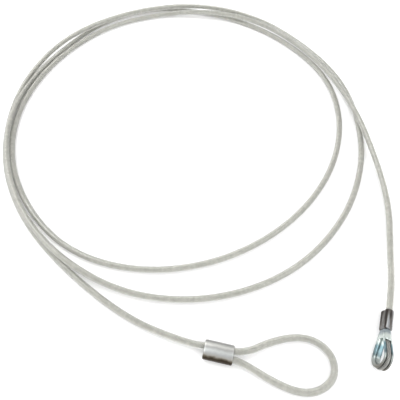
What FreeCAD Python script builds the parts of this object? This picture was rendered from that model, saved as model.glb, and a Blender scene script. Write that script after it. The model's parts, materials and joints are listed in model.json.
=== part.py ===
import FreeCAD, Part, Sketcher
import math
import os
from FreeCAD import Placement, Rotation, Vector

# A plastic coated wire rope lanyard, lying on a flat surface in a loose coil of three turns.
# One end is a thimble eye: bare rope round a stamped thimble, closed by a small oval sleeve.
# The other end is a soft eye: the coated cable bent back into a larger oval sleeve.
# Millimetres, +Z up, the surface at Z = 0, +Y from the eyes towards the far side of the coil.

SIZES = (
    ("rope_diameter", 1.6, "bare wire rope, 1/16 in"),
    ("jacket_diameter", 3.2, "outside of the clear coating, 1/8 in"),
    ("jacket_gap", 0.05, "rope to the bore of the coating, each side"),
    ("crimp_gap", 0.02, "sleeve bore to what it grips, each side"),
    ("tail_inset", 0.6, "cut ends stop this far inside their sleeve"),
    ("eye_width", 6.4, "clear width of the thimble"),
    ("eye_length", 14.0, "clear length of the thimble, to where its sides would meet"),
    ("sheet_thickness", 0.6, "steel strip of the thimble"),
    ("groove_gap", 0.4, "rope to the sides of the thimble's channel, each side"),
    ("seat_gap", 0.05, "rope to the bottom of the channel"),
    ("point_gap", 0.2, "the sides of the thimble stop this far short of meeting"),
    ("thimble_leg_gap", 0.7, "between the two ropes in the thimble sleeve"),
    ("thimble_sleeve_wall", 1.3, "least wall of the thimble sleeve"),
    ("thimble_sleeve_length", 9.8, "length of the thimble sleeve"),
    ("thimble_sleeve_edge", 0.8, "rounding of its ends"),
    ("thimble_bend_radius", 3.0, "rope leaving the thimble for its sleeve"),
    ("loop_leg_gap", 0.2, "between the two cables in the loop sleeve"),
    ("loop_sleeve_wall", 1.0, "least wall of the loop sleeve"),
    ("loop_sleeve_length", 13.2, "length of the loop sleeve"),
    ("loop_sleeve_edge", 0.6, "rounding of its ends"),
)

# Where the loose cable was laid. The coil is round about COIL_CENTRE.
COIL_CENTRE = Vector(-5.2, 20.0, 0)
THIMBLE_FROM_CENTRE = Vector(91.1, -142.9, 0)   # centre of the thimble's round end
THIMBLE_YAW = -22.0                             # degrees, its long axis from +Y
THIMBLE_PITCH = -5.0                            # degrees, down towards its sleeve
THIMBLE_ROLL = -78.0                            # degrees about its long axis
LOOP_SLEEVE_FROM_CENTRE = Vector(21.0, -140.2, 0)
LOOP_SLEEVE_YAW = -12.4                         # degrees, its axis from +X
THIMBLE_LEAD = 12.0                             # straight cable out of the thimble sleeve
LOOP_LEAD = 8.4                                 # straight cable into the loop sleeve

# Points of the cable from the thimble sleeve to the first turn: bearing, radius, height.
APPROACH = ((-40, 142.0, 3.0), (-30, 134.0, 1.6), (-20, 125.5, 1.6))

# Points of the turns, one every BEARING_STEP degrees from bearing 0: radius, height.
# A height over 1.6 is where one turn rides on another.
BEARING_STEP = 20
TURNS = (
    # first turn: over the third, beside it, and inside it along the far side
    (115.0, 8.0), (110.5, 8.0), (110.5, 5.5), (112.5, 8.0), (112.0, 8.0), (112.6, 1.6),
    (111.0, 1.6), (106.5, 1.6), (104.2, 1.6), (104.1, 1.6), (103.5, 1.6), (103.6, 1.6),
    (106.2, 1.6), (104.3, 1.6), (100.6, 1.6), (97.6, 1.6), (96.8, 1.6), (98.4, 1.6),
    # second turn: innermost, then under the other two to the outside, and back
    (102.0, 1.6), (106.4, 1.6), (107.0, 1.6), (109.5, 1.6), (115.0, 1.6), (119.8, 1.6),
    (118.3, 1.6), (110.2, 1.6), (108.1, 1.6), (106.1, 5.4), (105.6, 5.4), (107.6, 1.6),
    (112.2, 1.6), (117.2, 1.6), (119.0, 1.6), (119.0, 1.6), (116.3, 1.6), (114.0, 1.6),
    # third turn: outermost, over the second, and away towards the loop sleeve
    (113.2, 1.6), (114.4, 1.6), (114.3, 1.6), (117.4, 4.0), (117.8, 8.0), (116.2, 8.0),
    (114.7, 8.0), (113.8, 8.0), (112.2, 1.6), (108.1, 1.6), (107.7, 1.6), (111.8, 1.6),
    (115.8, 1.6), (127.0, 1.6),
)

# Points of the soft eye, from the loop sleeve's middle: along its axis, to its left, height.
SOFT_EYE = (
    (22.0, 9.6, 1.6), (33.0, 14.3, 1.6), (42.0, 14.4, 1.6), (49.2, 9.6, 1.6),
    (50.8, 1.6, 1.6), (46.2, -5.0, 1.6), (38.0, -8.6, 1.6), (26.0, -7.0, 1.6),
)
EYE_START = 4.4     # straight cable out of the loop sleeve into the soft eye
EYE_END = 3.4       # and back into it

ARC_SHARE = 0.45    # the most of its shorter run that an arc takes up
STRAIGHT = 1e-4     # runs shorter than this are left out between two arcs
VOLUME_ERROR = 0.01 # the most that a swept tube may differ from its section times its length


def fill_sheet(doc):
    """The driving dimensions, one alias each."""
    sheet = doc.addObject("Spreadsheet::Sheet", "sizes")
    for row, (alias, number, note) in enumerate(SIZES, start=1):
        sheet.set(f"A{row}", alias)
        sheet.set(f"B{row}", str(number))
        sheet.set(f"C{row}", note)
        sheet.setAlias(f"B{row}", alias)
    doc.recompute()
    return sheet


def bent_wire(points, name, report=True):
    """Straight runs through the points, joined by tangent arcs.

    Each point is (position, arc radius, reach). A radius of None takes the largest arc that
    the two runs allow, and that starts no further from its point than reach, if one is
    given. Returns the wire and the radius used at each inner point.
    """
    edges, radii = [], []
    start = points[0][0]
    for before, here, after in zip(points, points[1:], points[2:]):
        run_in, run_out = here[0] - before[0], after[0] - here[0]
        turn = run_in.getAngle(run_out)
        radius = here[1]
        if radius is None:
            longest = ARC_SHARE * min(run_in.Length, run_out.Length)
            radius = min(longest, here[2] or longest) / math.tan(turn / 2)
        radii.append(radius)
        reach = radius * math.tan(turn / 2)
        into = Vector(run_in).normalize()
        out = Vector(run_out).normalize()
        arc_start = here[0] - into * reach
        arc_end = here[0] + out * reach
        to_middle = Vector(out - into).normalize()
        middle = here[0] + to_middle * (radius / math.cos(turn / 2) - radius)
        if (arc_start - start).Length > STRAIGHT:
            edges.append(Part.LineSegment(start, arc_start).toShape())
        edges.append(Part.Arc(arc_start, middle, arc_end).toShape())
        start = arc_end
    if (points[-1][0] - start).Length > STRAIGHT:
        edges.append(Part.LineSegment(start, points[-1][0]).toShape())
    wire = Part.Wire(edges)
    if report:
        listed = ", ".join(f"{r:.0f}" for r in radii)
        print(f"{name}: length {wire.Length:.1f} mm, least radius {min(radii):.1f}, radii {listed}")
    return wire, radii


def spine_object(doc, name, wire):
    spine = doc.addObject("Part::Feature", name)
    spine.Shape = wire
    return spine


def round_sweep(doc, name, spine, start, direction, radius_expression):
    """A round bar along a spine, its radius bound to the sheet."""
    section = doc.addObject("Part::Circle", name + "_section")
    section.setExpression("Radius", radius_expression)
    section.Placement = Placement(start, Rotation(Vector(0, 0, 1), direction))
    sweep = doc.addObject("Part::Sweep", name)
    sweep.Sections = [section]
    sweep.Spine = (spine, [f"Edge{i + 1}" for i in range(len(spine.Shape.Edges))])
    sweep.Solid = True
    sweep.Frenet = False
    return sweep


def channel_radii(size):
    """Inside and outside of the half-round channel that the rope lies in."""
    inner = size("rope_diameter") / 2 + size("groove_gap")
    return inner, inner + size("sheet_thickness")


def rope_path_radius(size):
    """From the centre of the thimble's round end to the line of the rope round it."""
    return (size("eye_width") / 2 + size("sheet_thickness") + size("seat_gap")
            + size("rope_diameter") / 2)


def thimble_placement(size):
    """The thimble stands on its edge, with its channel or the rope in it on the surface."""
    turned = Rotation(Vector(0, 0, 1), THIMBLE_YAW).multiply(
        Rotation(Vector(1, 0, 0), THIMBLE_PITCH)).multiply(
        Rotation(Vector(0, 1, 0), THIMBLE_ROLL))
    tilt = turned.multVec(Vector(0, 0, 1)).getAngle(Vector(0, 0, 1))
    _, channel = channel_radii(size)
    edge = (size("eye_width") / 2 + channel) * math.sin(tilt) + channel * math.cos(tilt)
    rope = rope_path_radius(size) * math.sin(tilt) + size("rope_diameter") / 2
    height = max(edge, rope)
    return Placement(COIL_CENTRE + THIMBLE_FROM_CENTRE + Vector(0, 0, height), turned)


def loop_sleeve_height(size):
    return size("jacket_diameter") / 2 + size("loop_sleeve_wall")


def loop_sleeve_frame(size):
    """Along the sleeve is +X, the way to the soft eye, and +Y is to its left."""
    centre = COIL_CENTRE + LOOP_SLEEVE_FROM_CENTRE + Vector(0, 0, loop_sleeve_height(size))
    return Placement(centre, Rotation(Vector(0, 0, 1), LOOP_SLEEVE_YAW))


def leg_offset(size, prefix):
    """Half the distance between the two legs that a sleeve grips."""
    gripped = "rope_diameter" if prefix == "thimble" else "jacket_diameter"
    return (size(gripped) + size(prefix + "_leg_gap")) / 2


def rope_round_thimble(size):
    """Points of the bare rope about the thimble, in the thimble's own frame.

    The round end's centre is the origin and +Y points to the sleeve. The list runs from
    the tail in the sleeve, round the eye, to the leg that goes on into the cable.
    """
    half_width = size("eye_width") / 2
    apex = size("eye_length") - half_width
    lean = math.asin(half_width / apex)
    rope_path = rope_path_radius(size)
    leg = leg_offset(size, "thimble")
    bend_y = (rope_path - leg * math.cos(lean)) / math.sin(lean)
    bend = size("thimble_bend_radius")
    sleeve_start = bend_y + bend * math.tan(lean / 2) + size("seat_gap")
    tail_y = sleeve_start + size("thimble_sleeve_length") - size("tail_inset")
    points = [(Vector(-leg, tail_y, 0), None, None), (Vector(-leg, bend_y, 0), bend, None)]
    corners = 3
    sweep_angle = math.pi + 2 * lean
    corner_turn = sweep_angle / corners
    corner_reach = rope_path / math.cos(corner_turn / 2)
    for i in range(corners):
        bearing = math.pi - lean + corner_turn * (i + 0.5)
        corner = Vector(math.cos(bearing), math.sin(bearing), 0) * corner_reach
        points.append((corner, rope_path, None))
    points.append((Vector(leg, bend_y, 0), bend, None))
    mouth = Vector(leg, sleeve_start + size("thimble_sleeve_length"), 0)
    return points, sleeve_start, mouth


def cable_points(size):
    """Points of the coated cable, from the thimble sleeve's mouth to its tail.

    Beside the loop sleeve an arc's reach stops short of it, so the cable enters straight.
    """
    at_thimble = thimble_placement(size)
    _, _, mouth = rope_round_thimble(size)
    start = at_thimble.multVec(mouth)
    lead = at_thimble.multVec(mouth + Vector(0, THIMBLE_LEAD, 0))
    places = [start, lead]
    for bearing, radius, height in APPROACH:
        places.append(coil_point(bearing, radius, height))
    for step, (radius, height) in enumerate(TURNS):
        places.append(coil_point(step * BEARING_STEP, radius, height))
    points = [(place, None, None) for place in places]
    frame = loop_sleeve_frame(size)
    leg = leg_offset(size, "loop")
    sleeve_end = size("loop_sleeve_length") / 2
    level = loop_sleeve_height(size)
    ahead = Vector(-sleeve_end - LOOP_LEAD, leg, 0)
    leaving = Vector(sleeve_end + EYE_START, leg, 0)
    returning = Vector(sleeve_end + EYE_END, -leg, 0)
    tail = Vector(size("tail_inset") - sleeve_end, -leg, 0)
    points.append((frame.multVec(ahead), None, LOOP_LEAD))
    points.append((frame.multVec(leaving), None, EYE_START))
    for along, left, height in SOFT_EYE:
        points.append((frame.multVec(Vector(along, left, height - level)), None, None))
    points.append((frame.multVec(returning), None, EYE_END))
    points.append((frame.multVec(tail), None, None))
    return points


def coil_point(bearing, radius, height):
    angle = math.radians(bearing)
    return COIL_CENTRE + Vector(radius * math.cos(angle), radius * math.sin(angle), height)


def make_jacket(doc, size, points):
    """The clear coating: a tube along the whole cable."""
    wire, radii = bent_wire(points, "cable_jacket")
    spine = spine_object(doc, "jacket_spine", wire)
    start = points[0][0]
    direction = points[1][0] - start
    outside = round_sweep(doc, "jacket_outside", spine, start, direction,
                          "sizes.jacket_diameter / 2")
    bore = round_sweep(doc, "jacket_bore", spine, start, direction,
                       "sizes.rope_diameter / 2 + sizes.jacket_gap")
    jacket = doc.addObject("Part::Cut", "cable_jacket")
    jacket.Base = outside
    jacket.Tool = bore
    jacket.Label = "cable_jacket"
    outer, inner = size("jacket_diameter") / 2, size("rope_diameter") / 2 + size("jacket_gap")
    expected = math.pi * (outer ** 2 - inner ** 2) * wire.Length
    return jacket, radii, expected


def make_rope(doc, size, points, radii):
    """The wire rope inside the coating, bare where it goes round the thimble."""
    at_thimble = thimble_placement(size)
    round_eye, _, _ = rope_round_thimble(size)
    path = [(at_thimble.multVec(place), radius, None) for place, radius, _ in round_eye]
    path += [(point[0], radius, None) for point, radius in zip(points[1:-1], radii)]
    path.append(points[-1])
    wire, _ = bent_wire(path, "wire_rope", report=False)
    spine = spine_object(doc, "rope_spine", wire)
    rope = round_sweep(doc, "wire_rope", spine, path[0][0], path[1][0] - path[0][0],
                       "sizes.rope_diameter / 2")
    rope.Label = "wire_rope"
    print(f"wire_rope: length {wire.Length:.1f} mm")
    return rope, math.pi * (size("rope_diameter") / 2) ** 2 * wire.Length


def make_thimble(doc, size):
    """Steel strip pressed into a channel and bent to a teardrop, open side outwards."""
    half_width = size("eye_width") / 2
    apex = size("eye_length") - half_width
    lean = math.asin(half_width / apex)
    side = math.sqrt(apex ** 2 - half_width ** 2) - size("point_gap")
    touch = Vector(-half_width * math.cos(lean), half_width * math.sin(lean), 0)
    along = Vector(math.sin(lean), math.cos(lean), 0)
    left_end = touch + along * side
    mirrored = Vector(-touch.x, touch.y, 0)
    right_end = Vector(-left_end.x, left_end.y, 0)
    lowest = Vector(0, -half_width, 0)
    spine = spine_object(doc, "thimble_spine", Part.Wire([
        Part.LineSegment(left_end, touch).toShape(),
        Part.Arc(touch, lowest, mirrored).toShape(),
        Part.LineSegment(mirrored, right_end).toShape(),
    ]))
    inner, outer = channel_radii(size)
    outward = Vector(-along.y, along.x, 0)
    centre = left_end + outward * outer
    up = Vector(0, 0, 1)
    section = doc.addObject("Part::Feature", "thimble_section")
    section.Shape = Part.Wire([
        Part.Arc(centre + up * outer, centre - outward * outer, centre - up * outer).toShape(),
        Part.LineSegment(centre - up * outer, centre - up * inner).toShape(),
        Part.Arc(centre - up * inner, centre - outward * inner, centre + up * inner).toShape(),
        Part.LineSegment(centre + up * inner, centre + up * outer).toShape(),
    ])
    thimble = doc.addObject("Part::Sweep", "thimble")
    thimble.Sections = [section]
    thimble.Spine = (spine, ["Edge1", "Edge2", "Edge3"])
    thimble.Solid = True
    thimble.Frenet = False
    thimble.Label = "thimble"
    thimble.Placement = thimble_placement(size)
    return thimble


def origin_plane(body, role):
    return [f for f in body.Origin.OriginFeatures if f.Role == role][0]


def oval_sketch(body, name, radius_expression, offset_expression):
    """A slot shape about the origin: two round ends joined by two flats."""
    sketch = body.newObject("Sketcher::SketchObject", name)
    sketch.AttachmentSupport = [(origin_plane(body, "XY_Plane"), "")]
    sketch.MapMode = "FlatFace"
    radius, offset = 2.0, 1.0
    normal = Vector(0, 0, 1)
    quarter = math.pi / 2
    sketch.addGeometry([
        Part.ArcOfCircle(Part.Circle(Vector(offset, 0, 0), normal, radius), -quarter, quarter),
        Part.ArcOfCircle(Part.Circle(Vector(-offset, 0, 0), normal, radius), quarter,
                         3 * quarter),
        Part.LineSegment(Vector(offset, radius, 0), Vector(-offset, radius, 0)),
        Part.LineSegment(Vector(-offset, -radius, 0), Vector(offset, -radius, 0)),
    ], False)
    begin, end, centre = 1, 2, 3
    sketch.addConstraint([
        Sketcher.Constraint("Tangent", 0, end, 2, begin),
        Sketcher.Constraint("Tangent", 2, end, 1, begin),
        Sketcher.Constraint("Tangent", 1, end, 3, begin),
        Sketcher.Constraint("Tangent", 3, end, 0, begin),
        Sketcher.Constraint("Symmetric", 0, centre, 1, centre, -1, 1),
        Sketcher.Constraint("PointOnObject", 0, centre, -1),
        Sketcher.Constraint("Horizontal", 2),
    ])
    sketch.addConstraint(Sketcher.Constraint("Radius", 0, radius))
    sketch.renameConstraint(sketch.ConstraintCount - 1, "end_radius")
    sketch.addConstraint(Sketcher.Constraint("DistanceX", -1, 1, 0, centre, offset))
    sketch.renameConstraint(sketch.ConstraintCount - 1, "end_offset")
    sketch.setExpression("Constraints.end_radius", radius_expression)
    sketch.setExpression("Constraints.end_offset", offset_expression)
    return sketch


def bore_sketch(body, name, radius_expression, offset_expression):
    """Two equal round holes, one for each leg."""
    sketch = body.newObject("Sketcher::SketchObject", name)
    sketch.AttachmentSupport = [(origin_plane(body, "XY_Plane"), "")]
    sketch.MapMode = "FlatFace"
    radius, offset, centre = 0.5, 1.0, 3
    for side in (1, -1):
        place = Vector(side * offset, 0, 0)
        sketch.addGeometry(Part.Circle(place, Vector(0, 0, 1), radius), False)
    sketch.addConstraint([
        Sketcher.Constraint("Equal", 0, 1),
        Sketcher.Constraint("Symmetric", 0, centre, 1, centre, -1, 1),
        Sketcher.Constraint("PointOnObject", 0, centre, -1),
    ])
    sketch.addConstraint(Sketcher.Constraint("Radius", 0, radius))
    sketch.renameConstraint(sketch.ConstraintCount - 1, "bore_radius")
    sketch.addConstraint(Sketcher.Constraint("DistanceX", -1, 1, 0, centre, offset))
    sketch.renameConstraint(sketch.ConstraintCount - 1, "bore_offset")
    sketch.setExpression("Constraints.bore_radius", radius_expression)
    sketch.setExpression("Constraints.bore_offset", offset_expression)
    return sketch


def make_sleeve(doc, name, prefix, gripped):
    """An oval sleeve along +Z, with one hole for each of the two legs that it grips."""
    body = doc.addObject("PartDesign::Body", name)
    offset = f"(sizes.{gripped} + sizes.{prefix}_leg_gap) / 2"
    section = oval_sketch(body, name + "_section",
                          f"sizes.{gripped} / 2 + sizes.{prefix}_sleeve_wall", offset)
    pad = body.newObject("PartDesign::Pad", name + "_pad")
    pad.Profile = section
    pad.setExpression("Length", f"sizes.{prefix}_sleeve_length")
    section.Visibility = False
    doc.recompute()
    ends = (pad.Shape.BoundBox.ZMin, pad.Shape.BoundBox.ZMax)
    rims = [f"Edge{i + 1}" for i, edge in enumerate(pad.Shape.Edges)
            if any(all(abs(v.Z - level) < STRAIGHT for v in edge.Vertexes) for level in ends)]
    rounding = body.newObject("PartDesign::Fillet", name + "_rims")
    rounding.Base = (pad, rims)
    rounding.setExpression("Radius", f"sizes.{prefix}_sleeve_edge")
    doc.recompute()
    bores = bore_sketch(body, name + "_legs", f"sizes.{gripped} / 2 + sizes.crimp_gap", offset)
    pocket = body.newObject("PartDesign::Pocket", name + "_bores")
    pocket.Profile = bores
    pocket.Type = "ThroughAll"
    pocket.Reversed = True
    doc.recompute()
    if pocket.Shape.Volume >= rounding.Shape.Volume:
        raise RuntimeError(f"{name}: the bores cut nothing")
    body.Tip = pocket
    body.Label = name
    return body


def sleeve_turn(along, legs):
    """The rotation that lays a sleeve's +Z along one direction and its +X along another."""
    z = Vector(along).normalize()
    x = Vector(legs).normalize()
    return Rotation(x, z.cross(x), z, "ZXY")


def place_thimble_sleeve(sleeve, size):
    at_thimble = thimble_placement(size)
    _, sleeve_start, _ = rope_round_thimble(size)
    turn = at_thimble.Rotation
    sleeve.Placement = Placement(
        at_thimble.multVec(Vector(0, sleeve_start, 0)),
        sleeve_turn(turn.multVec(Vector(0, 1, 0)), turn.multVec(Vector(1, 0, 0))))


def place_loop_sleeve(sleeve, size):
    frame = loop_sleeve_frame(size)
    sleeve.Placement = Placement(
        frame.multVec(Vector(-size("loop_sleeve_length") / 2, 0, 0)),
        sleeve_turn(frame.Rotation.multVec(Vector(1, 0, 0)),
                    frame.Rotation.multVec(Vector(0, 1, 0))))


def check_and_export(doc, parts, expected):
    """Stops on any failed object, then writes one STEP file for each sub-part."""
    for item in doc.Objects:
        if "Invalid" in item.State or "Error" in item.State:
            raise RuntimeError(f"{item.Name} failed: {item.State}")
    for name, volume in expected.items():
        found = doc.getObject(name).Shape.Volume
        print(f"{name}: volume {found:.1f}, section times length {volume:.1f} mm3")
        if abs(found - volume) > VOLUME_ERROR * volume:
            raise RuntimeError(f"{name}: the tube isn't its section times its length")
    os.makedirs("parts", exist_ok=True)
    for part in parts:
        if part.Shape.isNull() or not part.Shape.isValid():
            raise RuntimeError(f"{part.Label} isn't a valid shape")
        part.Shape.exportStep(f"parts/{part.Label}.step")


def main():
    doc = FreeCAD.newDocument("lanyard")
    sheet = fill_sheet(doc)
    size = sheet.get
    points = cable_points(size)
    jacket, radii, jacket_volume = make_jacket(doc, size, points)
    rope, rope_volume = make_rope(doc, size, points, radii)
    thimble = make_thimble(doc, size)
    thimble_sleeve = make_sleeve(doc, "thimble_sleeve", "thimble", "rope_diameter")
    loop_sleeve = make_sleeve(doc, "loop_sleeve", "loop", "jacket_diameter")
    place_thimble_sleeve(thimble_sleeve, size)
    place_loop_sleeve(loop_sleeve, size)
    doc.recompute()
    parts = [jacket, rope, thimble, thimble_sleeve, loop_sleeve]
    check_and_export(doc, parts, {"cable_jacket": jacket_volume, "wire_rope": rope_volume})


main()
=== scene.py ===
import json
import math

import bpy
import numpy as np
from mathutils import Matrix, Vector

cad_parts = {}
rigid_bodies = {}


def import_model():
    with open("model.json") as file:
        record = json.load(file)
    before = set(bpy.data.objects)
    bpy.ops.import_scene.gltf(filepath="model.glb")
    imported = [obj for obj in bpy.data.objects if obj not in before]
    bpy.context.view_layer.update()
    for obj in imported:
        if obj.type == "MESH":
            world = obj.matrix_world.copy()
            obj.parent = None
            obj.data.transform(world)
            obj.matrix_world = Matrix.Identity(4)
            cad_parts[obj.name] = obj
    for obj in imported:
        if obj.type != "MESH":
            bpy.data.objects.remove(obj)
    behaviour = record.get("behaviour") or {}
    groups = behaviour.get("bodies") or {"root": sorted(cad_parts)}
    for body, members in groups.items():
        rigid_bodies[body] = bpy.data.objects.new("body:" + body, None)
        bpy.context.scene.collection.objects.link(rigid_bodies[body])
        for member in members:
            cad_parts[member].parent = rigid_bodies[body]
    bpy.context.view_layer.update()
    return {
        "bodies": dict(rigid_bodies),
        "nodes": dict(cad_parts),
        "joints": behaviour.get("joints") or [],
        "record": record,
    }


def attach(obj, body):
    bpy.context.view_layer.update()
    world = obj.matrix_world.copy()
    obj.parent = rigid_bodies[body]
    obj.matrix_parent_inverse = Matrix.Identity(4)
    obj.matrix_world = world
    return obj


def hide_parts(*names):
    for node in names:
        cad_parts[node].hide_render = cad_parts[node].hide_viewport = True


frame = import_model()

# A coated wire rope lanyard in a loose coil. Metres, +Z up, in the CAD model's frame.
# The sizes repeat those of the CAD source. The route's points started as the CAD source's,
# and some were then moved, by up to 4.4 mm.

BODY = "root"

ROPE = 0.0016               # diameter of the bare wire rope
JACKET = 0.0032             # diameter over the clear coating

# Thimble and its sleeve
EYE_WIDTH = 0.0064
EYE_LENGTH = 0.0140
SHEET = 0.0006
GROOVE = 0.0012
SEAT_GAP = 0.00005
POINT_GAP = 0.0002
THIMBLE_LEGS = 0.0023       # between the centres of the two ropes in the sleeve
THIMBLE_BEND = 0.0030
THIMBLE_SLEEVE_LENGTH = 0.0098
THIMBLE_SLEEVE_WALL = 0.0013
THIMBLE_YAW = math.radians(-22.0)
THIMBLE_PITCH = math.radians(-5.0)
THIMBLE_ROLL = math.radians(-78.0)
THIMBLE_SLEEVE_EDGE = 0.0008
THIMBLE_SLEEVE_WAIST = 0.22     # drawn in between its legs, as a share of its radius
TAIL_INSET = 0.0006         # from a sleeve's end back to the cut end of the rope in it
BARE_REACH = 0.018          # from the thimble's centre to where the rope is coated
BARE_FADE = 0.006           # over which the darker grey near the thimble gives way to the rope's usual colours

# Soft eye and its sleeve
LOOP_LEGS = 0.0034
LOOP_SLEEVE_LENGTH = 0.0132
LOOP_SLEEVE_WALL = 0.0010
LOOP_SLEEVE_EDGE = 0.0006
LOOP_SLEEVE_WAIST = 0.08
LOOP_SLEEVE_YAW = math.radians(-12.4)

# Where the cable lies
COIL_CENTRE = Vector((-0.0052, 0.0200, 0))
THIMBLE_PLACE = COIL_CENTRE + Vector((0.0911, -0.1429, 0))
LOOP_SLEEVE_PLACE = COIL_CENTRE + Vector((0.0210, -0.1402, 0))
THIMBLE_LEAD = 0.0120       # from the thimble sleeve to the cable's next point
LOOP_LEAD = 0.0084          # from the last point of the turns to the loop sleeve
LOOP_LEAD_DROP = 0.0010     # the cable comes up to this sleeve from a little to its right

# Bearing in degrees, radius and height
APPROACH = ((-40, 0.1420, 0.0030), (-30, 0.1330, 0.0016), (-20, 0.1234, 0.0026))

# Radius and height every BEARING_STEP degrees from bearing 0. Where one turn rides on
# another it's lower than the CAD tube, so that the cables nearly touch. At bearings 220
# and 240 the second turn rides on the third, which the CAD tube lies beside.
BEARING_STEP = 20
TURNS = (
    (0.1113, 0.0056), (0.1078, 0.0050), (0.1092, 0.0044), (0.1120, 0.0050), (0.1112, 0.0050),
    (0.1118, 0.0016), (0.1104, 0.0016), (0.1065, 0.0016), (0.1042, 0.0016), (0.1041, 0.0016),
    (0.1040, 0.0016), (0.1047, 0.0016), (0.1067, 0.0016), (0.1043, 0.0016), (0.1006, 0.0016),
    (0.0976, 0.0016), (0.0968, 0.0016), (0.0984, 0.0016),
    (0.1020, 0.0016), (0.1064, 0.0016), (0.1070, 0.0016), (0.1095, 0.0016), (0.1142, 0.0016),
    (0.1204, 0.0016), (0.1184, 0.0016), (0.1102, 0.0016), (0.1081, 0.0016), (0.1061, 0.0048),
    (0.1058, 0.0050), (0.1082, 0.0050), (0.1126, 0.0050), (0.1172, 0.0020), (0.1190, 0.0016),
    (0.1190, 0.0016), (0.1163, 0.0016), (0.1140, 0.0016),
    (0.1132, 0.0016), (0.1144, 0.0016), (0.1143, 0.0016), (0.1174, 0.0032), (0.1178, 0.0050),
    (0.1162, 0.0050), (0.1147, 0.0050), (0.1138, 0.0050), (0.1122, 0.0016), (0.1081, 0.0016),
    (0.1076, 0.0016), (0.1093, 0.0016), (0.1140, 0.0016), (0.1270, 0.0016),
)

# From the loop sleeve's middle: along its axis, to its left, and the height
SOFT_EYE = (
    (0.0220, 0.0096, 0.0016), (0.0330, 0.0143, 0.0016), (0.0420, 0.0144, 0.0016),
    (0.0492, 0.0096, 0.0016), (0.0508, 0.0016, 0.0016), (0.0462, -0.0050, 0.0016),
    (0.0380, -0.0086, 0.0016), (0.0260, -0.0070, 0.0016),
)
EYE_START = 0.0044          # from the loop sleeve to the soft eye's first point
EYE_END = 0.0034            # and from its last point back to the sleeve
BORE_POINT = 0.0020         # points that keep the cable straight inside the loop sleeve


# ---------------------------------------------------------------- node materials

def new_material(name):
    material = bpy.data.materials.new(name)
    material.use_nodes = True
    tree = material.node_tree
    return material, tree.nodes, tree.links, tree.nodes["Principled BSDF"]


def settings(shader, **values):
    for name, value in values.items():
        shader.inputs[name.replace("_", " ")].default_value = value


def noise(nodes, links, scale, detail=3.0, stretch=(1, 1, 1), local=False):
    """Noise over the frame's metres, or over a metal piece's own, which its mesh carries."""
    if local:
        where = nodes.new("ShaderNodeAttribute")
        where.attribute_name = "own_place"
        place = where.outputs["Vector"]
    else:
        place = nodes.new("ShaderNodeTexCoord").outputs["Object"]
    mapping = nodes.new("ShaderNodeMapping")
    mapping.inputs["Scale"].default_value = stretch
    texture = nodes.new("ShaderNodeTexNoise")
    texture.inputs["Scale"].default_value = scale
    texture.inputs["Detail"].default_value = detail
    links.new(place, mapping.inputs["Vector"])
    links.new(mapping.outputs["Vector"], texture.inputs["Vector"])
    return texture.outputs["Fac"]


def own_share(nodes, links, axis, low, high, wander):
    """From 0 to 1 between two places on a metal piece's own axis, with an uneven edge."""
    where = nodes.new("ShaderNodeAttribute")
    where.attribute_name = "own_place"
    parts = nodes.new("ShaderNodeSeparateXYZ")
    links.new(where.outputs["Vector"], parts.inputs["Vector"])
    scaled = nodes.new("ShaderNodeMapRange")
    scaled.inputs["From Min"].default_value = low
    scaled.inputs["From Max"].default_value = high
    links.new(parts.outputs[axis], scaled.inputs["Value"])
    mixed = nodes.new("ShaderNodeMath")
    mixed.operation = "MULTIPLY_ADD"
    mixed.inputs[1].default_value = wander
    links.new(noise(nodes, links, 500, local=True), mixed.inputs[0])
    links.new(scaled.outputs["Result"], mixed.inputs[2])
    return mixed.outputs["Value"]


def ramp(nodes, links, source, stops):
    """Colours by the value of source. Each stop is (place, (r, g, b))."""
    node = nodes.new("ShaderNodeValToRGB")
    elements = node.color_ramp.elements
    while len(elements) < len(stops):
        elements.new(0.5)
    for element, (place, colour) in zip(elements, stops):
        element.position = place
        element.color = (*colour, 1)
    links.new(source, node.inputs["Fac"])
    return node.outputs["Color"]


def bump(nodes, links, source, shader, distance):
    node = nodes.new("ShaderNodeBump")
    node.inputs["Distance"].default_value = distance
    node.inputs["Strength"].default_value = 1.0
    links.new(source, node.inputs["Height"])
    links.new(node.outputs["Normal"], shader.inputs["Normal"])


def clear_plastic():
    material, nodes, links, shader = new_material("clear_plastic")
    settings(shader, Base_Color=(0.97, 0.97, 0.94, 1), Roughness=0.18, IOR=1.62,
             Transmission_Weight=0.93)
    bump(nodes, links, noise(nodes, links, 700, 2.0), shader, 0.00002)
    return material


MIX_SOCKETS = {"factor": 0, "a": 6, "b": 7, "result": 2}     # those of a mix node for colour
# A darker grey for the rope within BARE_REACH of the thimble's centre, fading out over
# BARE_FADE
NEAR_THIMBLE_GREY = (0.36, 0.36, 0.34, 1)


def rope_wire():
    """Galvanized wire, in a darker grey over the bare rope within BARE_REACH of the thimble's
    centre.
    """
    material, nodes, links, shader = new_material("rope_wire")
    settings(shader, Metallic=0.85, Roughness=0.42)
    wire_colour = ramp(nodes, links, noise(nodes, links, 500), (
        (0.3, (0.62, 0.62, 0.57)), (0.55, (0.72, 0.72, 0.67)), (0.8, (0.84, 0.83, 0.78))))
    away = nodes.new("ShaderNodeVectorMath")
    away.operation = "DISTANCE"
    away.inputs[1].default_value = thimble_frame().translation
    links.new(nodes.new("ShaderNodeTexCoord").outputs["Object"], away.inputs[0])
    share = nodes.new("ShaderNodeMapRange")
    share.inputs["From Min"].default_value = BARE_REACH - BARE_FADE
    share.inputs["From Max"].default_value = BARE_REACH
    links.new(away.outputs["Value"], share.inputs["Value"])
    both = nodes.new("ShaderNodeMix")
    both.data_type = "RGBA"
    factor, near_thimble, other = (both.inputs[MIX_SOCKETS[name]] for name in ("factor", "a", "b"))
    links.new(share.outputs["Result"], factor)
    near_thimble.default_value = NEAR_THIMBLE_GREY
    links.new(wire_colour, other)
    links.new(both.outputs[MIX_SOCKETS["result"]], shader.inputs["Base Color"])
    return material


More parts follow.
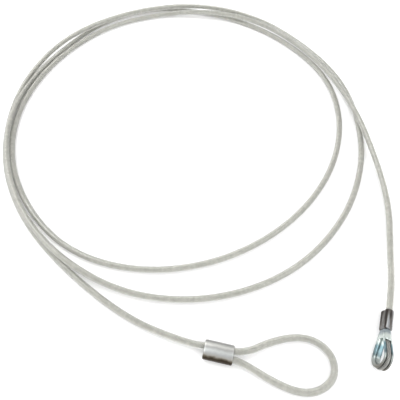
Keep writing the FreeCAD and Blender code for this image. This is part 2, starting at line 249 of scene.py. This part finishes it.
def zinc_painted_reflections():
    """Zinc plate with painted reflections in bands along it: painted shade, dark brown, at the
    round end, then blue-grey, cream, and grey at the sleeve.
    """
    material, nodes, links, shader = new_material("zinc_painted_reflections")
    settings(shader, Metallic=0.9, Roughness=0.3)
    # Painted reflections in bands along the thimble, with painted shade at its round end
    colour = ramp(nodes, links, own_share(nodes, links, "Y", -0.0055, 0.0125, 0.10), (
        (0.05, (0.10, 0.09, 0.07)), (0.16, (0.24, 0.24, 0.22)), (0.36, (0.36, 0.40, 0.39)),
        (0.44, (0.12, 0.16, 0.17)), (0.52, (0.19, 0.28, 0.31)), (0.66, (0.17, 0.27, 0.30)),
        (0.74, (0.58, 0.64, 0.62)), (0.88, (0.60, 0.65, 0.62)), (0.96, (0.27, 0.31, 0.33))))
    links.new(colour, shader.inputs["Base Color"])
    bump(nodes, links, noise(nodes, links, 900, local=True), shader, 0.00004)
    return material


def dark_metal():
    material, nodes, links, shader = new_material("dark_metal")
    settings(shader, Metallic=0.8, Roughness=0.42)
    streaks = noise(nodes, links, 600, 3.0, (1, 0.15, 1), local=True)
    colour = ramp(nodes, links, streaks, (
        (0.38, (0.035, 0.03, 0.028)), (0.47, (0.12, 0.11, 0.10)), (0.55, (0.22, 0.22, 0.22)),
        (0.66, (0.32, 0.33, 0.34))))
    links.new(colour, shader.inputs["Base Color"])
    bump(nodes, links, streaks, shader, 0.00012)
    return material


def aluminium_painted_highlights():
    """Aluminium with painted highlights and painted reflections in bands across it, lightest
    along its top, and dark brown along its lower edge.
    """
    material, nodes, links, shader = new_material("aluminium_painted_highlights")
    settings(shader, Metallic=0.85, Roughness=0.34)
    # Painted highlights and painted reflections in bands across the sleeve, lightest along its
    # top; dark brown along its lower edge
    colour = ramp(nodes, links, own_share(nodes, links, "X", -0.0043, 0.0043, 0.16), (
        (0.17, (0.04, 0.03, 0.02)), (0.23, (0.15, 0.13, 0.10)), (0.30, (0.38, 0.37, 0.34)),
        (0.42, (0.42, 0.43, 0.43)), (0.56, (0.56, 0.58, 0.57)), (0.70, (0.40, 0.40, 0.39)),
        (0.82, (0.62, 0.62, 0.59)), (0.95, (0.34, 0.34, 0.33))))
    links.new(colour, shader.inputs["Base Color"])
    bump(nodes, links, noise(nodes, links, 420, 2.0, (1, 1, 0.3), local=True), shader, 0.00012)
    return material


# ---------------------------------------------------------------- places

def thimble_frame():
    """Its round end's centre is the origin, +Y points to its sleeve, +Z through the eye."""
    turned = (Matrix.Rotation(THIMBLE_YAW, 4, "Z") @ Matrix.Rotation(THIMBLE_PITCH, 4, "X")
              @ Matrix.Rotation(THIMBLE_ROLL, 4, "Y"))
    tilt = math.acos(math.cos(THIMBLE_PITCH) * math.cos(THIMBLE_ROLL))
    channel = GROOVE + SHEET
    rope_path = EYE_WIDTH / 2 + SHEET + SEAT_GAP + ROPE / 2
    height = max((EYE_WIDTH / 2 + channel) * math.sin(tilt) + channel * math.cos(tilt),
                 rope_path * math.sin(tilt) + ROPE / 2)
    return Matrix.Translation(THIMBLE_PLACE + Vector((0, 0, height))) @ turned


def loop_sleeve_frame():
    """Its middle is the origin, +X points along it to the soft eye and +Y to its left."""
    height = JACKET / 2 + LOOP_SLEEVE_WALL
    return (Matrix.Translation(LOOP_SLEEVE_PLACE + Vector((0, 0, height)))
            @ Matrix.Rotation(LOOP_SLEEVE_YAW, 4, "Z"))


def coil_point(bearing, radius, height):
    angle = math.radians(bearing)
    return COIL_CENTRE + Vector((radius * math.cos(angle), radius * math.sin(angle), height))


def teardrop():
    """The lean of the thimble's sides and the place where the rope turns into its sleeve."""
    half = EYE_WIDTH / 2
    lean = math.asin(half / (EYE_LENGTH - half))
    rope_path = half + SHEET + SEAT_GAP + ROPE / 2
    bend = (rope_path - THIMBLE_LEGS / 2 * math.cos(lean)) / math.sin(lean)
    sleeve_start = bend + THIMBLE_BEND * math.tan(lean / 2) + SEAT_GAP
    return lean, rope_path, bend, sleeve_start


ROPE_CORNERS = 6            # control points round the thimble's round end
ROPE_SIDE_POINT = 0.75      # of the way up its side, for one more


def bare_rope_points():
    """Control points of the bare rope, from its tail in the sleeve, round the eye, and back."""
    lean, rope_path, bend, sleeve_start = teardrop()
    leg = THIMBLE_LEGS / 2
    mouth = sleeve_start + THIMBLE_SLEEVE_LENGTH
    turn = (math.pi + 2 * lean) / ROPE_CORNERS
    touch = Vector((rope_path * math.cos(lean), rope_path * math.sin(lean), 0))
    side = [Vector((leg, mouth - TAIL_INSET, 0)), Vector((leg, bend + ROPE, 0)),
            Vector((leg, bend, 0)), touch.lerp(Vector((leg, bend, 0)), ROPE_SIDE_POINT), touch]
    points = [Vector((-p.x, p.y, 0)) for p in side]
    for i in range(ROPE_CORNERS):
        bearing = math.pi - lean + turn * (i + 0.5)
        points.append(Vector((math.cos(bearing), math.sin(bearing), 0))
                      * (rope_path / math.cos(turn / 2)))
    points += reversed(side[1:])
    points.append(Vector((leg, mouth, 0)))
    return [thimble_frame() @ p for p in points]


def cable_points():
    """Control points of the coated cable, from the thimble sleeve's mouth to its tail."""
    at_thimble = thimble_frame()
    at_loop = loop_sleeve_frame()
    mouth = Vector((THIMBLE_LEGS / 2, teardrop()[3] + THIMBLE_SLEEVE_LENGTH, 0))
    points = [at_thimble @ mouth, at_thimble @ (mouth + Vector((0, THIMBLE_LEAD, 0)))]
    points += [coil_point(*place) for place in APPROACH]
    for step, (radius, height) in enumerate(TURNS):
        points.append(coil_point(step * BEARING_STEP, radius, height))
    leg, end = LOOP_LEGS / 2, LOOP_SLEEVE_LENGTH / 2
    level = at_loop.translation.z
    points.append(at_loop @ Vector((-end - LOOP_LEAD, leg - LOOP_LEAD_DROP, 0)))
    points.append(at_loop @ Vector((-BORE_POINT, leg, 0)))
    points.append(at_loop @ Vector((end + EYE_START, leg, 0)))
    for along, left, height in SOFT_EYE:
        points.append(at_loop @ Vector((along, left, height - level)))
    points.append(at_loop @ Vector((end + EYE_END, -leg, 0)))
    points.append(at_loop @ Vector((BORE_POINT, -leg, 0)))
    points.append(at_loop @ Vector((TAIL_INSET - end, -leg, 0)))
    return points


# ---------------------------------------------------------------- lines and meshes

def link(piece, material):
    piece.data.materials.append(material)
    if piece.name not in bpy.context.scene.collection.objects:
        bpy.context.scene.collection.objects.link(piece)
    return piece


def route(name, points, steps):
    """An open spline of order 3 with these control points."""
    curve = bpy.data.curves.new(name, "CURVE")
    curve.dimensions = "3D"
    curve.resolution_u = steps
    spline = curve.splines.new("NURBS")
    spline.points.add(len(points) - 1)
    for control, place in zip(spline.points, points):
        control.co = (*place, 1.0)
    spline.order_u = 3
    spline.use_endpoint_u = True
    piece = bpy.data.objects.new(name, curve)
    bpy.context.scene.collection.objects.link(piece)
    return piece


def line_of(piece):
    """The points of a route's own line, read from its spline before it has a bevel."""
    bpy.context.view_layer.update()
    mesh = bpy.data.meshes.new_from_object(piece)
    points = np.array([v.co[:] for v in mesh.vertices])
    bpy.data.meshes.remove(mesh)
    return points


def even_line(points, step):
    """The same line with its points one step apart, and each point's distance along it."""
    along = np.concatenate([[0], np.cumsum(np.linalg.norm(np.diff(points, axis=0), axis=1))])
    count = round(along[-1] / step) + 1
    stations = np.linspace(0, along[-1], count)
    return np.stack([np.interp(stations, along, points[:, k]) for k in range(3)], 1), stations


def across(points):
    """Two unit vectors across the line at each point, carried along it without twist."""
    tangents = np.gradient(points, axis=0)
    tangents /= np.linalg.norm(tangents, axis=1)[:, None]
    side = np.cross(tangents[0], (0, 0, 1))
    sides = []
    for tangent in tangents:
        side = side - tangent * side.dot(tangent)
        side /= np.linalg.norm(side)
        sides.append(side)
    sides = np.array(sides)
    return sides, np.cross(tangents, sides)


def tube_mesh(name, rings, closed=False):
    """A skin over rings of points, all with the same number of points, capped at both ends."""
    rings = np.asarray(rings)
    count, around, _ = rings.shape
    faces = []
    for i in range(count if closed else count - 1):
        here, there = i * around, (i + 1) % count * around
        for j in range(around):
            k = (j + 1) % around
            faces.append((here + j, here + k, there + k, there + j))
    if not closed:
        faces.append(tuple(reversed(range(around))))
        faces.append(tuple(range((count - 1) * around, count * around)))
    mesh = bpy.data.meshes.new(name)
    mesh.from_pydata(rings.reshape(-1, 3).tolist(), [], faces)
    mesh.polygons.foreach_set("use_smooth", [True] * len(mesh.polygons))
    mesh.update()
    return bpy.data.objects.new(name, mesh)


# ---------------------------------------------------------------- rope and cable

STRANDS = 6
LAY = 0.0105                # along the rope for one turn of its strands
STRAND_RADIUS = 0.000265
STRAND_SIDES = 10
STATION = 0.0008


def make_strands(points):
    """The rope's outer strands, laid in a helix about its line."""
    line, stations = even_line(points, STATION)
    side, up = across(line)
    reach = ROPE / 2 - STRAND_RADIUS
    corner = 2 * math.pi * np.arange(STRAND_SIDES) / STRAND_SIDES
    pieces = []
    for strand in range(STRANDS):
        turn = 2 * math.pi * (stations / LAY + strand / STRANDS)
        angle = turn[:, None] + corner[None, :]
        across_side = reach * np.cos(turn)[:, None] + STRAND_RADIUS * np.cos(angle)
        across_up = reach * np.sin(turn)[:, None] + STRAND_RADIUS * np.sin(angle)
        rings = (line[:, None, :] + across_side[..., None] * side[:, None, :]
                 + across_up[..., None] * up[:, None, :])
        pieces.append(tube_mesh(f"rope_strand_{strand + 1}", rings))
    return pieces


# ---------------------------------------------------------------- thimble and sleeves

SIDE_STEPS = 24
ROUND_STEPS = 48
SECTION_SIDES = 17
THROAT_SHARPNESS = 0.6      # below 1 the channel's bottom is flatter than a half circle
COLLAR_LENGTH = 0.0056
COLLAR_SPREAD = 0.0046      # between the middles of the collar's lower ends
COLLAR_ARCH = 0.0012        # rise of its lower edge in the middle
COLLAR_TOP_SHARE = 0.7      # of the sheet's thickness that it stands out by at its top
COLLAR_WAIST = 0.1
COLLAR_INSIDE = (0.86, 0.82)    # its inside as shares of its outside, across and through
COLLAR_STEPS = 8
BORE_GAP = 0.00002
BORE_WAIST = 0.3
RIM_STEPS = 5
OVAL_SIDES = 64
OVAL_FLATNESS = 3.0         # how quickly the slot shape turns from one leg to the other
WAIST_WIDTH = 0.6           # of the slot's radius


def place_own(piece, frame):
    """Moves a mesh into its frame. The mesh keeps its own coordinates for its material."""
    own = piece.data.attributes.new("own_place", "FLOAT_VECTOR", "POINT")
    own.data.foreach_set("vector", [value for v in piece.data.vertices for value in v.co])
    piece.data.transform(frame)
    return piece


def channel_section():
    """Out of the eye and through it: a flat-bottomed channel, its open side outwards."""
    outer, inner = GROOVE + SHEET, GROOVE
    section = []
    for radius, order in ((outer, range(SECTION_SIDES)), (inner, range(SECTION_SIDES)[::-1])):
        for k in order:
            turn = math.pi * k / (SECTION_SIDES - 1)
            depth = outer - radius * math.sin(turn) ** THROAT_SHARPNESS
            width = math.copysign(abs(math.cos(turn)) ** THROAT_SHARPNESS, math.cos(turn))
            section.append((depth, radius * width))
    return section


def make_thimble():
    """A pressed channel bent to a teardrop, with a collar that closes its neck."""
    lean = teardrop()[0]
    half = EYE_WIDTH / 2
    apex = EYE_LENGTH - half
    side = math.sqrt(apex ** 2 - half ** 2) - POINT_GAP
    outward = Vector((math.cos(lean), math.sin(lean), 0))
    along = Vector((-math.sin(lean), math.cos(lean), 0))
    straight = [(outward * half + along * side * (1 - i / SIDE_STEPS), outward)
                for i in range(SIDE_STEPS)]
    stations = list(straight)
    for i in range(ROUND_STEPS + 1):
        bearing = lean - (math.pi + 2 * lean) * i / ROUND_STEPS
        spoke = Vector((math.cos(bearing), math.sin(bearing), 0))
        stations.append((spoke * half, spoke))
    mirror = Matrix.Diagonal((-1, 1, 1))
    stations += [(mirror @ place, mirror @ spoke) for place, spoke in reversed(straight)]
    rings = []
    for place, spoke in stations:
        ring = [place + spoke * out + Vector((0, 0, through))
                for out, through in channel_section()]
        rings.append(ring)
    channel = tube_mesh("thimble_channel", rings)
    return place_own(joined("thimble_shell", [channel, make_collar()]), thimble_frame())


def make_collar():
    """The thimble's points pressed round both ropes, from the eye's top up to the sleeve."""
    top = teardrop()[3] + SEAT_GAP
    rings = []
    for i in range(COLLAR_STEPS + 1):
        share = i / COLLAR_STEPS
        level = top - COLLAR_LENGTH * share
        legs = THIMBLE_LEGS + (COLLAR_SPREAD - THIMBLE_LEGS) * share
        radius = GROOVE + SHEET * COLLAR_TOP_SHARE + (SHEET * (1 - COLLAR_TOP_SHARE)) * share
        rings.append([(x, level + COLLAR_ARCH * share * (1 - (x / (legs / 2 + radius)) ** 2), y)
                      for x, y in oval(legs, radius, COLLAR_WAIST)])
    inside = []
    for ring in reversed(rings):
        inside.append([(x * COLLAR_INSIDE[0], level, y * COLLAR_INSIDE[1])
                       for x, level, y in ring])
    return tube_mesh("thimble_collar", rings + inside, closed=True)


def joined(name, pieces):
    """One mesh of several loose ones."""
    corners, faces = [], []
    for piece in pieces:
        start = len(corners)
        corners += [v.co[:] for v in piece.data.vertices]
        faces += [[start + v for v in face.vertices] for face in piece.data.polygons]
        bpy.data.objects.remove(piece)
    mesh = bpy.data.meshes.new(name)
    mesh.from_pydata(corners, [], faces)
    mesh.polygons.foreach_set("use_smooth", [True] * len(mesh.polygons))
    mesh.update()
    return bpy.data.objects.new(name, mesh)


def oval(legs, radius, waist):
    """Points of a slot shape about two legs, drawn in between them by a share of its radius."""
    points = []
    for i in range(OVAL_SIDES):
        turn = 2 * math.pi * i / OVAL_SIDES
        x = legs / 2 * math.tanh(OVAL_FLATNESS * math.cos(turn)) + radius * math.cos(turn)
        drawn_in = waist * math.exp(-(x / (WAIST_WIDTH * radius)) ** 2)
        y = radius * math.sin(turn) * (1 - drawn_in)
        points.append((x, y))
    return points


def make_sleeve(name, legs, gripped, wall, length, edge, waist):
    """A pressed sleeve along +Z: its outside, its rounded rims, and one bore for both legs."""
    rings = []
    bore = gripped / 2 + BORE_GAP
    radius = gripped / 2 + wall
    for end, order in ((0, range(RIM_STEPS + 1)), (1, range(RIM_STEPS, -1, -1))):
        for i in order:
            turn = math.pi / 2 * i / RIM_STEPS
            inset = edge * (1 - math.sin(turn))
            z = edge * (1 - math.cos(turn))
            z = length - z if end else z
            rings.append([(x, y, z) for x, y in oval(legs, radius - inset, waist)])
    for z in (length, 0.0):
        rings.append([(x, y, z) for x, y in oval(legs, bore, BORE_WAIST)])
    return tube_mesh(name, rings, closed=True)


# ---------------------------------------------------------------- the object

CABLE_STEPS = 16            # points of a line for each control point
BARE_STEPS = 12
CABLE_BEVEL_STEPS = 5

plastic = clear_plastic()
wire = rope_wire()

cable = route("clear_jacket", cable_points(), CABLE_STEPS)
cable_line = line_of(cable)
bare = route("bare_rope_route", bare_rope_points(), BARE_STEPS)
bare_line = line_of(bare)
bpy.data.objects.remove(bare)

cable.data.bevel_depth = JACKET / 2
cable.data.bevel_resolution = CABLE_BEVEL_STEPS
cable.data.use_fill_caps = True
link(cable, plastic)
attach(cable, BODY)
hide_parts("cable_jacket")

strands = make_strands(np.concatenate([bare_line[:-1], cable_line]))
for strand in strands:
    link(strand, wire)
    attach(strand, BODY)
    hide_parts("wire_rope")

thimble = link(make_thimble(), zinc_painted_reflections())
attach(thimble, BODY)
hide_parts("thimble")

thimble_crimp = make_sleeve("thimble_crimp", THIMBLE_LEGS, ROPE, THIMBLE_SLEEVE_WALL,
                            THIMBLE_SLEEVE_LENGTH, THIMBLE_SLEEVE_EDGE, THIMBLE_SLEEVE_WAIST)
thimble_crimp.data.transform(Matrix.Rotation(-math.pi / 2, 4, "X"))
place_own(thimble_crimp, thimble_frame() @ Matrix.Translation((0, teardrop()[3], 0)))
link(thimble_crimp, dark_metal())
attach(thimble_crimp, BODY)
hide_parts("thimble_sleeve")

loop_crimp = make_sleeve("loop_crimp", LOOP_LEGS, JACKET, LOOP_SLEEVE_WALL,
                         LOOP_SLEEVE_LENGTH, LOOP_SLEEVE_EDGE, LOOP_SLEEVE_WAIST)
place_own(loop_crimp, loop_sleeve_frame() @ Matrix.Translation((-LOOP_SLEEVE_LENGTH / 2, 0, 0))
          @ Matrix.Rotation(math.pi / 2, 4, "Z") @ Matrix.Rotation(math.pi / 2, 4, "X"))
link(loop_crimp, aluminium_painted_highlights())
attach(loop_crimp, BODY)
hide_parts("loop_sleeve")

tuple(cable_points()[0])


# ---------------------------------------------------------------- floor, light and camera

FLOOR_HALF = 4.0
LAMP_SIZE = 0.6
KEY_PLACE, KEY_WATTS = (-0.5, 0.4, 0.9), 4
FILL_PLACE, FILL_WATTS = (0.7, -0.4, 0.7), 2
CAMERA_PLACE = (0.00765, -0.1545, 0.1836)
CAMERA_TILT = math.radians(32)
LENS = 35.2                 # mm, on a sensor of SENSOR mm
SENSOR = 36


def make_floor():
    mesh = bpy.data.meshes.new("floor")
    half = FLOOR_HALF
    corners = [(-half, -half, 0), (half, -half, 0), (half, half, 0), (-half, half, 0)]
    mesh.from_pydata(corners, [], [(0, 1, 2, 3)])
    floor = bpy.data.objects.new("floor", mesh)
    material, _, _, shader = new_material("white_floor")
    settings(shader, Base_Color=(0.97, 0.97, 0.97, 1), Roughness=0.9, Emission_Strength=0.12)
    link(floor, material)


def make_light(name, place, power):
    lamp = bpy.data.lights.new(name, "AREA")
    lamp.shape = "DISK"
    lamp.size = LAMP_SIZE
    lamp.energy = power
    holder = bpy.data.objects.new(name, lamp)
    holder.location = place
    holder.rotation_euler = (-Vector(place)).to_track_quat("-Z", "Y").to_euler()
    bpy.context.scene.collection.objects.link(holder)


def make_world():
    world = bpy.data.worlds.new("studio")
    world.use_nodes = True
    background = world.node_tree.nodes["Background"]
    background.inputs["Color"].default_value = (1, 1, 1, 1)
    background.inputs["Strength"].default_value = 1.0
    bpy.context.scene.world = world


def make_camera():
    lens = bpy.data.cameras.new("camera")
    lens.lens = LENS
    lens.sensor_width = SENSOR
    lens.clip_start = 0.01
    camera = bpy.data.objects.new("camera", lens)
    camera.location = CAMERA_PLACE
    camera.rotation_euler = (CAMERA_TILT, 0, 0)
    bpy.context.scene.collection.objects.link(camera)
    bpy.context.scene.camera = camera


make_floor()
make_light("key", KEY_PLACE, KEY_WATTS)
make_light("fill", FILL_PLACE, FILL_WATTS)
make_world()
make_camera()
bpy.context.scene.view_settings.view_transform = "Standard"
